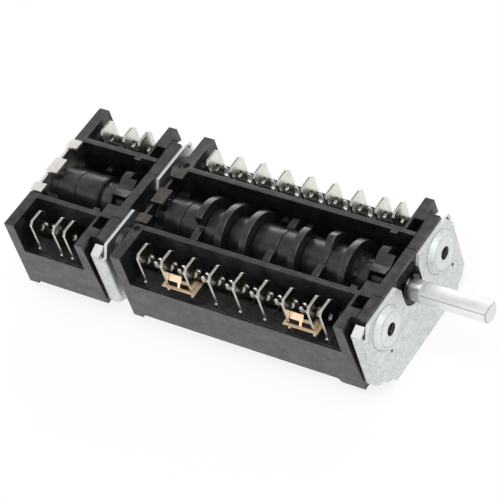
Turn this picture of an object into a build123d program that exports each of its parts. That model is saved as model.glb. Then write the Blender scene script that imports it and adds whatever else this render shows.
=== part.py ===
from build123d import *
import math
import os

# Rotary selector switch of an oven: two cam switches in a row on one spindle.
# Frame: origin on the spindle axis at the front face of the front plate,
# +X out along the spindle, +Y to the far row of terminals, +Z up. Millimetres.

# Driving dimensions of a switch unit
screw_spacing = 28.0
contact_pitch = 7.92
front_stations = 8
rear_stations = 2
unit_margin = 17.44

# Housing moulding
housing_half_width = 23.9
housing_top = 8.0
housing_bottom = -14.5
foot_height = 1.15
foot_inner_y = 20.0
front_foot_length = 7.3
front_foot_ramp = 1.1
rear_foot_length = 3.3
end_wall = 3.4
outer_wall = 1.35
outer_wall_top = -2.25
channel_half_width = 10.8
channel_wall = 1.6
channel_floor = -12.9
chamber_floor = -12.7
ledge_inner_y = 17.0
ledge_top = -3.0
front_wall_inner = -8.3
front_wall_face = -4.0
front_wall_top_face = -5.6
front_wall_foot_face = -4.4
block_half_width = 19.3
pocket_inner_y = 12.1
pocket_outer_y = 16.4
pocket_back = -7.5
pocket_floor = -6.0
cross_wall_top = 7.5
rib_rear = -11.1
rib_front = -9.0
rib_depth = 1.0
nose_slot_bottom = -6.2
nose_slot_top = 1.0
nose_slot_half_length = 1.5
core_inner_y = 18.4
core_outer_y = 22.2
core_roof = -5.0
core_wall = 1.4

# Bearing cover and the bridge set into it
seat_near_y = -11.0
seat_far_y = 6.5
seat_bottom = 4.3
shelf_rear = -8.0
shelf_inner_y = -7.2
shelf_bottom = 6.2
stud_clearance = 0.6

# Front plates
plate_thickness = 1.0
plate_top = 6.9
plate_corner_y = 19.8
corner_foot_y = 21.9
corner_foot_z = 3.4
plate_side_y = 23.2
plate_bottom = -18.7
plate_foot_half_width = 16.2
flange_rear = -4.0
flange_bottom = -13.5
bend_radius = 1.7
flap_foot_z = 5.1
flap_tip_y = 20.1
flap_tip_z = 6.3
slot_gap = 0.15
notch_half_width = 4.5
notch_mouth_half_width = 6.1
notch_mouth_depth = 2.7
boss_height = 1.6
boss_foot_radius = 6.0
boss_top_radius = 5.2
boss_cap = 1.2
screw_hole_radius = 2.0

# End plates
end_plate_thickness = 1.0
end_plate_top = 6.9
end_plate_half_width = 11.0
end_plate_wing_y = 18.0
end_plate_wing_top = 3.0
end_plate_bottom = -12.0
tab_thickness = 1.0
tab_reach = 3.5
side_tab_inner = 7.3
side_tab_outer = 10.4
centre_tab_half = 2.7
rear_bore_radius = 2.0

# Studs between the two units
stud_collar_length = 1.5
stud_collar_radius = 3.6
stud_depth = 3.0
collar_sides = 6

# Terminals
blade_thickness = 0.8
blade_inner_y = 15.2
blade_width = 6.3
blade_top = 8.0
blade_chamfer = 1.1
blade_hole_z = 3.4
blade_hole_radius = 0.85
shoulder_y = 21.95
shoulder_rise = 1.2
shoulder_slope = 0.4
tail_outer_y = 20.6
tail_step = 1.0
tail_step_height = 1.5
fit_gap = 0.05
near_first = 17.95
near_last = 14.1
far_first = 19.2
far_last = 13.65

# Contact springs and their fixed contacts
spring_station = 16.24
spring_thickness = 0.35
spring_half_width = 1.0
spring_foot_gap = 2.2
spring_foot_height = 1.4
spring_bend_z = -7.6
spring_nose_y = 9.95
spring_nose_z = -2.4
spring_shank_z = -0.1
spring_tip_run = 0.8
spring_tip_z = 0.3
contact_z = 0.9
contact_half = 0.8
contact_height = 0.5
contact_travel = 0.825
anvil_y = 17.2
anvil_thickness = 0.4

# Copper links between neighbouring terminals
link_thickness = 0.45
link_outer_y = 22.4
link_bar_y = 21.6
link_z = -0.1
link_strip = 0.85
link_wide_strip = 1.4
link_inner_y = 17.9
link_raised_y = 20.8
link_raised_z = 1.1
link_cross_place = 3.5
link_tab_length = 4.2
link_tab_y = 19.7
link_tab_z = 2.8

# Cam drum
ring_seam = 15.64
cam_width = 2.4
base_radius = 6.3
lobe_radius = 9.3
facet_angle = 15.0
arbor_half = 3.5
journal_radius = 4.5
running_gap = 0.05
seam_gap = 0.3
sleeve_front = -10.6
sleeve_radius = 6.2
hub_rear = -13.9
hub_radius = 5.1
claw_front = -5.4
claw_step = -8.0
claw_core_radius = 4.2
claw_root_radius = 4.0
claw_lip_radius = 7.5
claw_notch_radius = 6.3
claw_ridge_radius = 8.3
claw_crown_radius = 9.2
socket_depth = 6.5
socket_gap = 0.02
click_count = 12
click_tip_radius = 5.8
click_valley_radius = 5.2
click_rear = -15.3
click_side_gap = 0.2
click_thickness = 0.5
click_end_gap = 0.5
click_foot_run = 2.6
click_shank_y = 2.6
click_crown_y = 0.8
click_drop = 0.4

# Spindle
spindle_radius = 3.0
spindle_flat = 1.6
spindle_tip = 23.4
spindle_tip_chamfer = 0.4
spindle_inner_end = -13.5
flat_start = 3.4
clip_rear = -0.95
clip_thickness = 0.8
clip_bore = 2.55
clip_radius = 4.2
clip_mouth = 1.6

# Stepped lower corner of the front plates, as (y, z) going down to the foot
plate_heel = [(20.2, -15.1), (18.3, -16.3), (17.3, -16.6)]

# Claw lug as radius and angle: the lip that drives, then the crown behind it
claw_lip = [(claw_root_radius, 120), (claw_lip_radius, 113), (claw_notch_radius, 90),
            (claw_ridge_radius, 68)]
claw_crown = [(claw_crown_radius, 54), (claw_crown_radius, 42), (claw_root_radius, 36)]

# Lobes as angles from +Y towards +Z: foot, start and end of the crest, heel.
# The first cam is the one at the front.
front_cams = [
    [(-37, -30, 160, 168), (198, 205, 243, 250)],
    [(3, 10, 71, 95), (131, 152, 190, 198)],
    [(57, 70, 160, 168), (243, 250, 285, 292)],
    [(-27, -20, 28, 42), (131, 152, 195, 203)],
    [(-47, -40, 160, 168)],
    [(-67, -60, 160, 168), (213, 220, 250, 257)],
    [(-32, -25, 114, 124), (130, 152, 190, 198)],
    [(190, 197, 228, 235), (262, 269, 323, 330)],
]
rear_cams = [[(182, 189, 223, 230), (262, 269, 333, 340)], [(200, 207, 283, 290)]]
hub_shoulders = [(86, 100, 186, 200), (266, 280, 366, 380)]

# Lengths that follow from the number of contact stations
front_unit_length = unit_margin + contact_pitch * front_stations
rear_unit_length = unit_margin + contact_pitch * rear_stations
rear_unit_x = -(front_unit_length + end_plate_thickness + stud_collar_length + boss_height)

# Places of the springs, which stand off the channel wall and its floor
spring_foot_y = channel_half_width + channel_wall + spring_foot_gap
spring_tip_y = anvil_y - 2 * contact_height - contact_travel - spring_thickness / 2
click_foot_y = channel_half_width - click_end_gap

# How far a cutting body reaches past the faces it opens, and sides of the plain holes
past = 1.0
hole_sides = 12
blade_hole_sides = 8


def block(x0, x1, y0, y1, z0, z1):
    """Box between two corners, each pair in either order."""
    size = (abs(x1 - x0), abs(y1 - y0), abs(z1 - z0))
    return Pos((x0 + x1) / 2, (y0 + y1) / 2, (z0 + z1) / 2) * Box(*size)


def rod(x0, x1, radius, y=0.0, z=0.0):
    """Round bar along X."""
    return Pos((x0 + x1) / 2, y, z) * Rot(0, 90, 0) * Cylinder(radius, x1 - x0)


def slab_yz(outline, x0, x1):
    """Outline of (y, z) points extruded from x0 to x1."""
    face = make_face(Polyline(*outline, close=True))
    return extrude(Plane.YZ.offset(x0) * face, x1 - x0)


def slab_xz(outline, y0, y1):
    """Outline of (x, z) points extruded from y0 up to y1."""
    face = make_face(Polyline(*outline, close=True))
    return extrude(Plane(origin=(0, y1, 0), x_dir=(1, 0, 0), z_dir=(0, -1, 0)) * face, y1 - y0)


def mirrored(outline, side):
    """Outline of (y, z) points on the chosen side of the spindle."""
    return [(side * y, z) for y, z in outline]


def polar(radius, angle):
    """Point (y, z) on a circle about the spindle axis."""
    turn = math.radians(angle)
    return (radius * math.cos(turn), radius * math.sin(turn))


def facets(radius, start, end):
    """Points along an arc in short equal chords, both ends included."""
    steps = max(1, round((end - start) / facet_angle))
    return [polar(radius, start + (end - start) * i / steps) for i in range(steps + 1)]


def drum_bar(x0, x1, radius):
    """Moulded round bar of short facets, for what turns in no bearing."""
    return slab_yz(facets(radius, 0, 360)[:-1], x0, x1)


def polygon_bar(x0, x1, radius, sides, y=0.0, z=0.0):
    """Regular bar along X with few sides."""
    points = [polar(radius, 360 * i / sides) for i in range(sides)]
    return slab_yz([(y + a, z + b) for a, b in points], x0, x1)


def plain_bar(x0, x1, radius, y=0.0):
    """Bar of flats at that radius, for a plain hole and for the stud that fills it."""
    return polygon_bar(x0, x1, radius / math.cos(math.pi / hole_sides), hole_sides, y)


def bent_strip(route, thickness):
    """Outline of a sheet of even thickness that follows a bent centre line."""
    left = []
    right = []
    last = len(route) - 1
    for i, point in enumerate(route):
        before = route[i - 1] if i > 0 else route[0]
        after = route[i + 1] if i < last else route[last]
        run_in = Vector(point[0] - before[0], point[1] - before[1])
        run_out = Vector(after[0] - point[0], after[1] - point[1])
        run_in = (run_in if i > 0 else run_out).normalized()
        run_out = (run_out if i < last else run_in).normalized()
        mitre = Vector(-(run_in.Y + run_out.Y), run_in.X + run_out.X).normalized()
        reach = thickness / 2 / mitre.dot(Vector(-run_in.Y, run_in.X))
        left.append((point[0] + mitre.X * reach, point[1] + mitre.Y * reach))
        right.append((point[0] - mitre.X * reach, point[1] - mitre.Y * reach))
    return left + right[::-1]


def flatted_bar(x0, x1, radius, flat):
    """Round bar along X with a flat on top at height flat."""
    return rod(x0, x1, radius) - block(x0 - past, x1 + past, -radius, radius, flat, radius + past)


def export(shape, name):
    """One named piece, as a list of its separate solids."""
    solids = shape.solids() if hasattr(shape, "solids") else shape
    whole = Compound(children=list(solids)) if len(solids) > 1 else solids[0]
    whole.label = name
    export_step(whole, os.path.join("parts", name + ".step"))


def blade_places(front, stations, side):
    """Centre X of each terminal of one row, and that of the odd one at the front."""
    first = near_first if side < 0 else far_first
    last = near_last if side < 0 else far_last
    return [front - first - contact_pitch * k for k in range(stations)], front - last


def spring_places(front, stations):
    """Centre X of each contact spring."""
    return [front - spring_station - contact_pitch * k for k in range(stations)]


def housing(front, length, stations, long_foot):
    """Open moulding: drum channel in the middle, a contact chamber on each side."""
    rear = front - length
    face = front + front_wall_foot_face
    inner = front + front_wall_inner
    wall_y = channel_half_width + channel_wall
    edge_y = housing_half_width - outer_wall
    open_top = housing_top + past
    body = block(rear, face, -housing_half_width, housing_half_width, housing_bottom, housing_top)
    body += block(face, front + front_wall_face, -block_half_width, block_half_width,
                  housing_bottom, housing_top)
    body -= block(rear + end_wall, front, -channel_half_width, channel_half_width,
                  channel_floor, open_top)
    body -= block(rear - past, rear + end_wall + past, -channel_half_width, channel_half_width,
                  cross_wall_top, open_top)
    body -= rod(rear - past, rear + end_wall + past, journal_radius + running_gap)
    slope = [(front + front_wall_top_face, open_top), (face, housing_bottom - past),
             (front, housing_bottom - past), (front, open_top)]
    for side in (-1, 1):
        corner = sorted((side * block_half_width, side * (housing_half_width + past)))
        body -= slab_xz(slope, *corner)
        body -= block(rear + end_wall, inner, side * wall_y, side * ledge_inner_y,
                      chamber_floor, open_top)
        body -= block(rear + end_wall, inner, side * ledge_inner_y, side * edge_y,
                      ledge_top, open_top)
        body -= block(rear + end_wall, inner, side * edge_y, side * (housing_half_width + past),
                      outer_wall_top, open_top)
        body -= block(front + pocket_back, front, side * pocket_inner_y, side * pocket_outer_y,
                      pocket_floor, open_top)
        body += block(front + rib_rear, front + rib_front, side * (channel_half_width - rib_depth),
                      side * channel_half_width, channel_floor, housing_top)
        body += block(rear, rear + rear_foot_length, side * foot_inner_y,
                      side * housing_half_width, housing_bottom - foot_height, housing_bottom)
        if long_foot:
            heel = face - front_foot_length
            sole = [(heel - front_foot_ramp, housing_bottom), (heel, housing_bottom - foot_height),
                    (face, housing_bottom - foot_height), (face, housing_bottom)]
            body += slab_xz(sole, *sorted((side * foot_inner_y, side * housing_half_width)))
        row, odd = blade_places(front, stations, side)
        half = blade_thickness / 2 + fit_gap
        for x in row + [odd]:
            body -= block(x - half, x + half, side * (wall_y + past), side * (tail_outer_y + fit_gap),
                          chamber_floor, ledge_top + past)
        for x in row[1:]:
            body -= block(x + core_wall, x + contact_pitch - core_wall, side * core_inner_y,
                          side * core_outer_y, housing_bottom - past, core_roof)
        for x in spring_places(front, stations):
            body -= block(x - nose_slot_half_length, x + nose_slot_half_length,
                          side * (channel_half_width - past), side * (wall_y + past),
                          nose_slot_bottom, nose_slot_top)
    return body


def folded_side(front, side):
    """Flange bent back from the plate's side and, above a slot, a flap bent inwards."""
    inner_y = plate_side_y - plate_thickness
    bend_x = front - bend_radius
    bend_y = plate_side_y - bend_radius
    bend = facets(bend_radius, 0, 90) + facets(bend_radius - plate_thickness, 0, 90)[::-1]
    outline = [(bend_x + a, side * (bend_y + b)) for a, b in bend]
    foot = Pos(0, 0, flange_bottom) * make_face(Polyline(*outline, close=True))
    fold = extrude(foot, corner_foot_z - flange_bottom, dir=(0, 0, 1))
    fold += block(front + flange_rear, bend_x, side * inner_y, side * plate_side_y,
                  flange_bottom, corner_foot_z)
    run = Vector(plate_side_y - flap_tip_y, flap_foot_z - flap_tip_z).normalized()
    under = Vector(run.Y, -run.X) * plate_thickness
    rise = (flap_tip_z - flap_foot_z) / (plate_side_y - flap_tip_y)
    elbow_z = flap_foot_z + rise * plate_thickness + under.Y - rise * under.X
    flap = [(plate_side_y, corner_foot_z), (plate_side_y, flap_foot_z), (flap_tip_y, flap_tip_z),
            (flap_tip_y + under.X, flap_tip_z + under.Y), (inner_y, elbow_z), (inner_y, corner_foot_z)]
    return fold + slab_yz(mirrored(flap, side), front + flange_rear,
                          front - plate_thickness - slot_gap)


def mounting_plate(front, screw_hole):
    """Stamped plate with two raised screw bosses, a spindle notch and folded sides."""
    back = front - plate_thickness
    fold_y = plate_side_y - bend_radius
    half = [(notch_half_width, plate_top - notch_mouth_depth), (notch_mouth_half_width, plate_top),
            (plate_corner_y, plate_top), (corner_foot_y, corner_foot_z), (fold_y, corner_foot_z),
            (fold_y, flange_bottom)] + plate_heel + [(plate_foot_half_width, plate_bottom)]
    plate = slab_yz(half + mirrored(half[::-1], -1), back, front)
    plate -= block(back - past, front + past, -notch_half_width, notch_half_width,
                   0, plate_top + past)
    plate -= rod(back - past, front + past, notch_half_width)
    slant = math.degrees(math.atan2(boss_foot_radius - boss_top_radius, boss_height))
    for side in (-1, 1):
        plate += folded_side(front, side)
        y = side * screw_spacing / 2
        outline = make_face(Polyline(*facets(boss_foot_radius, 0, 360)[:-1], close=True))
        plate += extrude(Plane.YZ.offset(front) * Pos(y, 0) * outline, boss_height, taper=slant)
        plate -= polygon_bar(back - past, front + boss_height - boss_cap,
                             boss_top_radius - past, hole_sides, y)
        plate -= screw_hole(back - past, front + boss_height + past, screw_hole_radius, y)
    return plate


def bearing_cover(front):
    """Block behind the plate that carries the spindle, with a seat for the bridge."""
    back = front + front_wall_face
    face = front - plate_thickness
    cover = block(back, face, -block_half_width, block_half_width, housing_bottom, housing_top)
    cover -= block(back - past, face + past, seat_near_y, seat_far_y, seat_bottom,
                   housing_top + past)
    cover -= rod(back - past, face + past, spindle_radius + running_gap)
    for side in (-1, 1):
        cover -= plain_bar(back - past, face + past, screw_hole_radius + stud_clearance,
                           side * screw_spacing / 2)
    return cover


def bearing_bridge(front):
    """Insert that closes the cover over the spindle, with a shelf beside the claw."""
    back = front + front_wall_face
    bridge = block(back, front - plate_thickness, seat_near_y + fit_gap, seat_far_y - fit_gap,
                   seat_bottom, housing_top)
    return bridge + block(front + shelf_rear, back, -channel_half_width + fit_gap, shelf_inner_y,
                          shelf_bottom, housing_top)


def end_plate(rear, bore):
    """Steel plate on the rear of a housing, hooked over its cross wall by three tabs."""
    outer = rear - end_plate_thickness
    half = [(end_plate_half_width, end_plate_top), (end_plate_half_width, end_plate_wing_top),
            (end_plate_wing_y, end_plate_wing_top), (end_plate_wing_y, end_plate_bottom)]
    plate = slab_yz(half + mirrored(half[::-1], -1), outer, rear)
    top = cross_wall_top + tab_thickness
    for y0, y1 in ((-side_tab_outer, -side_tab_inner), (-centre_tab_half, centre_tab_half),
                   (side_tab_inner, side_tab_outer)):
        plate += block(outer, rear, y0, y1, end_plate_top, top)
        plate += block(rear, rear + tab_reach, y0, y1, cross_wall_top, top)
    ridges = plate.edges().filter_by(Axis.Y).group_by(Axis.Z)[-1].group_by(Axis.X)[0]
    plate = fillet(ridges, tab_thickness - slot_gap)
    plate -= plain_bar(outer - past, rear + past, bore)
    for side in (-1, 1):
        plate -= plain_bar(outer - past, rear + past, screw_hole_radius, side * screw_spacing / 2)
    return plate


def terminal(x, side, anvil_end=None):
    """Push-on blade with its tail; anvil_end is where the fixed contact's arm ends."""
    outer = blade_inner_y + blade_width
    shoulder_z = ledge_top + shoulder_rise
    step_y = blade_inner_y - tail_step
    step_z = chamber_floor + tail_step_height
    outline = [
        (blade_inner_y, blade_top - blade_chamfer), (blade_inner_y + blade_chamfer, blade_top),
        (outer - blade_chamfer, blade_top), (outer, blade_top - blade_chamfer),
        (outer, shoulder_z + shoulder_slope), (shoulder_y, shoulder_z), (shoulder_y, ledge_top),
        (tail_outer_y, ledge_top), (tail_outer_y, chamber_floor), (step_y, chamber_floor),
        (step_y, step_z), (blade_inner_y, step_z),
    ]
    half = blade_thickness / 2
    blade = slab_yz(mirrored(outline, side), x - half, x + half)
    blade -= polygon_bar(x - past, x + past, blade_hole_radius, blade_hole_sides,
                         side * (blade_inner_y + blade_width / 2), blade_hole_z)
    if anvil_end is not None:
        low = contact_z - contact_half
        high = contact_z + contact_half
        blade += block(x, anvil_end, side * anvil_y, side * (anvil_y + anvil_thickness),
                       low - anvil_thickness, high + anvil_thickness)
        blade += block(anvil_end - 2 * contact_half, anvil_end, side * (anvil_y - contact_height),
                       side * anvil_y, low, high)
    return blade


def contact_spring(x, side, foot_end):
    """Leaf with a nose that the cam pushes, a silver pad at its tip and a long foot."""
    tip_z = contact_z + contact_half + spring_thickness
    route = [(spring_foot_y, chamber_floor), (spring_foot_y, spring_bend_z),
             (spring_nose_y, spring_nose_z), (spring_tip_y - spring_tip_run, spring_shank_z),
             (spring_tip_y, spring_tip_z), (spring_tip_y, tip_z)]
    leaf = slab_yz(mirrored(bent_strip(route, spring_thickness), side),
                   x - spring_half_width, x + spring_half_width)
    half = spring_thickness / 2
    leaf += block(x, foot_end, side * (spring_foot_y - half), side * (spring_foot_y + half),
                  chamber_floor, chamber_floor + spring_foot_height)
    pad_y = spring_tip_y + half + contact_height
    leaf += block(x - contact_half, x + contact_half, side * spring_tip_y, side * pad_y,
                  spring_tip_z, tip_z - spring_thickness)
    return leaf


def cam_outline(lobes, low, high):
    """Closed outline in (y, z): a circle of radius low with ramps up to lobes of radius high."""
    points = []
    next_feet = [lobe[0] for lobe in lobes[1:]] + [lobes[0][0] + 360]
    for (foot, start, end, heel), next_foot in zip(lobes, next_feet):
        points += facets(high, start, end) + facets(low, heel, next_foot)
    return points


def cam_ring(rear, seam, lobes):
    """Ring of the drum: plain sleeve behind, one cam at its front end."""
    sleeve = drum_bar(rear + running_gap, seam - cam_width, base_radius)
    cam = slab_yz(cam_outline(lobes, base_radius, lobe_radius), seam - cam_width,
                  seam - running_gap)
    bore = arbor_half + running_gap
    return sleeve + cam - block(rear - past, seam + past, -bore, bore, -bore, bore)


def click_wheel():
    """Star of shallow valleys that the click spring drops into."""
    step = 360 / click_count
    points = []
    for i in range(click_count):
        points.append(polar(click_tip_radius, -90 + (i + 0.5) * step))
        points.append(polar(click_valley_radius, -90 + (i + 1) * step))
    return slab_yz(points, click_rear, hub_rear)


def drum_arbor(front, length):
    """Square bar through the cam rings, with the rear journal and the front claw."""
    rear = front - length
    wall = rear + end_wall
    seam = front - ring_seam
    arbor = block(wall, seam, -arbor_half, arbor_half, -arbor_half, arbor_half)
    arbor += rod(rear + seam_gap - running_gap, wall + seam_gap, journal_radius)
    arbor += drum_bar(seam, front + click_rear, sleeve_radius)
    arbor += drum_bar(front + click_rear, front + hub_rear, click_valley_radius)
    arbor += slab_yz(cam_outline(hub_shoulders, hub_radius, sleeve_radius), front + hub_rear,
                     front + sleeve_front)
    arbor += drum_bar(front + sleeve_front, front + claw_front, claw_core_radius)
    for half_turn in (0, 180):
        lip = [polar(radius, angle + half_turn) for radius, angle in claw_lip]
        crown = [polar(radius, angle + half_turn) for radius, angle in claw_crown]
        arbor += slab_yz(lip + crown[-1:], front + claw_step, front + claw_front)
        arbor += slab_yz(lip + crown, front + sleeve_front, front + claw_step)
    return arbor - flatted_bar(front + spindle_inner_end - seam_gap, front + claw_front + past,
                               spindle_radius + socket_gap, spindle_flat + socket_gap)


def selector_shaft():
    """Steel spindle with a flat for the knob and a groove for its clip."""
    shaft = rod(spindle_inner_end, spindle_tip, spindle_radius)
    shaft = chamfer(shaft.edges().sort_by(Axis.X)[-1:], spindle_tip_chamfer)
    for start, end in ((flat_start, spindle_tip + past),
                       (spindle_inner_end - past, claw_front + seam_gap)):
        shaft -= block(start, end, -spindle_radius, spindle_radius, spindle_flat,
                       spindle_radius + past)
    groove = rod(clip_rear - running_gap, clip_rear + clip_thickness + running_gap,
                 spindle_radius + past)
    return shaft - (groove - rod(clip_rear - past, clip_rear + clip_thickness + past, clip_bore))


def spindle_clip():
    """Open retaining ring in the groove of the spindle."""
    front = clip_rear + clip_thickness
    ring = drum_bar(clip_rear, front, clip_radius) - rod(clip_rear - past, front + past, clip_bore)
    return ring - block(clip_rear - past, front + past, -clip_mouth, clip_mouth,
                        0, clip_radius + past)


def coupling_shaft():
    """Flatted bar from the rear socket of the front drum into the claw of the rear drum."""
    rear = rear_unit_x + spindle_inner_end
    front = -front_unit_length + socket_depth - seam_gap
    neck_rear = rear_unit_x + front_wall_face - seam_gap
    neck_front = rear_unit_x - plate_thickness + seam_gap
    return flatted_bar(rear, front, spindle_radius, spindle_flat) + rod(neck_rear, neck_front,
                                                                        spindle_radius)


def link_studs():
    """Two studs that clamp the front housing's end plate to the rear unit's plate."""
    rear_face = -front_unit_length - end_plate_thickness
    studs = []
    for side in (-1, 1):
        y = side * screw_spacing / 2
        stud = plain_bar(rear_unit_x - stud_depth, -front_unit_length, screw_hole_radius, y)
        studs.append(stud + polygon_bar(rear_unit_x + boss_height, rear_face,
                                        stud_collar_radius, collar_sides, y))
    return studs


def copper_link(rear_blade):
    """Stamped link that grips two neighbouring blades, with a raised tab between them."""
    face = blade_thickness / 2 + fit_gap
    left = rear_blade - face - link_strip
    right = rear_blade + contact_pitch + face
    cross = rear_blade + link_cross_place
    half = link_thickness / 2
    low = link_z - half
    high = link_z + half
    link = block(left, right + link_wide_strip, -link_outer_y, -link_bar_y, low, high)
    link += block(left, left + link_strip, -link_bar_y, -link_raised_y + half, low, high)
    link += block(right, right + link_wide_strip, -link_bar_y, -link_inner_y, low, high)
    riser = [(link_bar_y + link_strip / 2, link_z), (link_bar_y, link_z),
             (link_raised_y, link_raised_z), (link_raised_y - link_strip, link_raised_z)]
    link += slab_yz(mirrored(bent_strip(riser, link_thickness), -1), cross, cross + link_strip)
    link += block(cross, right - 2 * face, -link_raised_y, -link_raised_y + link_strip,
                  link_raised_z - half, link_raised_z + half)
    tab = [(link_raised_y, link_raised_z), (link_tab_y, link_tab_z)]
    start = rear_blade + face
    return link + slab_yz(mirrored(bent_strip(tab, link_thickness), -1), start,
                          start + link_tab_length)


def click_spring():
    """Bow spring on the channel floor whose crown sits in a valley of the click wheel."""
    foot_z = channel_floor + click_thickness / 2 + running_gap
    crown = -click_valley_radius - click_drop - click_thickness / 2
    shank_z = crown - click_thickness
    route = [(click_foot_y, foot_z), (click_foot_y - click_foot_run, foot_z + click_thickness),
             (click_shank_y, shank_z), (click_crown_y, crown)]
    bow = mirrored(route, -1) + route[::-1]
    return slab_yz(bent_strip(bow, click_thickness), click_rear + click_side_gap,
                   hub_rear - click_side_gap)


def write_row(front, stations, side, prefix):
    """Terminals of one row and, as one piece group, its contact springs."""
    row, odd = blade_places(front, stations, side)
    springs = spring_places(front, stations)
    word = "near" if side < 0 else "far"
    leaves = []
    for k, x in enumerate(row):
        ahead = row[k - 1] if k else odd
        export(terminal(x, side, springs[k] + contact_half), f"{prefix}_{word}_terminal_{k + 1}")
        leaves.append(contact_spring(springs[k], side, ahead - blade_thickness / 2))
    export(terminal(odd, side), f"{prefix}_{word}_terminal_0")
    export(Compound(children=leaves), f"{prefix}_{word}_contact_springs")


def write_drum(front, length, cams, prefix):
    """Cam rings of one drum, counted from the front."""
    rear_limit = front - length + end_wall + seam_gap
    for k, lobes in enumerate(cams):
        seam = front - ring_seam - contact_pitch * k
        back = seam - contact_pitch if k + 1 < len(cams) else rear_limit
        export(cam_ring(back, seam, lobes), f"{prefix}_cam_ring_{k + 1}")


os.makedirs("parts", exist_ok=True)

units = [("front", 0.0, front_unit_length, front_stations, front_cams),
         ("rear", rear_unit_x, rear_unit_length, rear_stations, rear_cams)]
for prefix, front, length, stations, cams in units:
    export(housing(front, length, stations, prefix == "front"), prefix + "_housing")
    export(bearing_cover(front), prefix + "_bearing_cover")
    export(bearing_bridge(front), prefix + "_bearing_bridge")
    write_drum(front, length, cams, prefix)
    for side in (-1, 1):
        write_row(front, stations, side, prefix)

export(mounting_plate(0, rod), "front_mounting_plate")
export(mounting_plate(rear_unit_x, plain_bar), "middle_mounting_plate")
export(end_plate(-front_unit_length, journal_radius + seam_gap), "front_unit_end_plate")
export(end_plate(rear_unit_x - rear_unit_length, rear_bore_radius), "rear_unit_end_plate")
export(link_studs(), "unit_link_studs")
export(selector_shaft(), "selector_shaft")
export(spindle_clip(), "spindle_clip")
export(coupling_shaft(), "coupling_shaft")

socket = flatted_bar(-front_unit_length - past, -front_unit_length + socket_depth,
                     spindle_radius + socket_gap, spindle_flat + socket_gap)
export(drum_arbor(0, front_unit_length) + click_wheel() - socket - flatted_bar(
    spindle_inner_end - seam_gap, 0, spindle_radius + socket_gap, spindle_flat + socket_gap),
    "front_drum_arbor")
export(drum_arbor(rear_unit_x, rear_unit_length), "rear_drum_arbor")
export(click_spring(), "click_spring")

bridged_row = blade_places(0, front_stations, -1)[0]
export(copper_link(bridged_row[6]), "rear_copper_bridge")
export(copper_link(bridged_row[1]), "front_copper_bridge")
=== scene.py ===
# %% [markdown]
# # An oven selector switch
# Two open cam switches stand in a row on one spindle. Black moulded housings carry rows of tinned
# blades, a drum of cam rings turns between them, and zinc-plated plates close the ends.
# The CAD frame gives every place and size. This script gives the looks: rounded edges, pressed
# metal, moulded plastic and plain studio light. It first loads the frame and keeps its box.
# Lengths are written in millimetres, and MM turns them into Blender's metres.

# %% Load the frame
import math

import bmesh
import bpy
import numpy as np
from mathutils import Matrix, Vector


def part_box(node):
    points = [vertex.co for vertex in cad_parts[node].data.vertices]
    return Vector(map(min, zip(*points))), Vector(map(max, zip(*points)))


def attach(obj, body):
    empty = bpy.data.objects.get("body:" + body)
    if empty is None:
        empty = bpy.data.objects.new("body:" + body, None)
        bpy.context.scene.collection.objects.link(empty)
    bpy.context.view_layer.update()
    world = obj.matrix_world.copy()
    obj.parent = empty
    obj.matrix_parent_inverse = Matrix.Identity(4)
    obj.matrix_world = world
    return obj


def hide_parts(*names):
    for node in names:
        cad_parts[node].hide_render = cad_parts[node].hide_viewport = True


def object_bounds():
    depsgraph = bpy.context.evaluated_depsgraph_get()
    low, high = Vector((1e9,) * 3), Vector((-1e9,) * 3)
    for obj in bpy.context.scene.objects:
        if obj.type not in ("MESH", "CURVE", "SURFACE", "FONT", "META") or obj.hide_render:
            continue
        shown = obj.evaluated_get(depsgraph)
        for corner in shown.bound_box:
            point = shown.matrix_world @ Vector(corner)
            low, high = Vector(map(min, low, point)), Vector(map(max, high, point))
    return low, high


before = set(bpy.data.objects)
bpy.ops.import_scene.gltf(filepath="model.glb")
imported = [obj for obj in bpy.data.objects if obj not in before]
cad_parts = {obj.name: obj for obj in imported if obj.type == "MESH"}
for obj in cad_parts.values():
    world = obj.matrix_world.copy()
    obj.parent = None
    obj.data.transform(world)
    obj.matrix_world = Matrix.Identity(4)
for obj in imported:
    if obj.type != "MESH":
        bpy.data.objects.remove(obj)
cad_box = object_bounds()
MM = 0.001
STILL = "switch_frame"
TURNING = "selector_rotor"


def box_mm(node):
    """Lowest and highest corner of a CAD node at rest, in millimetres."""
    return [np.array(corner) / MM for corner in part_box(node)]


print("CAD box in mm:", [[round(v / MM, 1) for v in corner] for corner in cad_box])

# %% [markdown]
# ## The camera
# The photograph looks down on the switch from its spindle end. A pinhole camera was fitted to
# corners of the housings, plates and blades, and its place, turn and focal length are set here.
# A long lens far away keeps the rows of blades almost parallel, as they are in the picture.

# %% Place the camera
SENSOR_WIDTH, FOCAL_LENGTH = 36.0, 179.03
CAMERA_PLACE = (0.304898, -0.329170, 0.463783)
CAMERA_TURN = (44.2741, 14.4929, 33.0322)
camera_data = bpy.data.cameras.new("photo_camera")
camera_data.sensor_width = SENSOR_WIDTH
camera_data.lens = FOCAL_LENGTH
camera = bpy.data.objects.new("photo_camera", camera_data)
camera.location = CAMERA_PLACE
camera.rotation_euler = [math.radians(angle) for angle in CAMERA_TURN]
bpy.context.scene.collection.objects.link(camera)
bpy.context.scene.camera = camera
bpy.context.scene.view_settings.view_transform = "Standard"
down = math.cos(camera.rotation_euler.x) * math.cos(camera.rotation_euler.y)
print("camera looks down by", round(math.degrees(math.asin(down))), "degrees")

# %% [markdown]
# ## Shader maths
# A finish is worked out from noise and distances. Blender's nodes do that one sum at a time, so a
# small class wraps a socket and turns plain Python sums into Math nodes.

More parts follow.
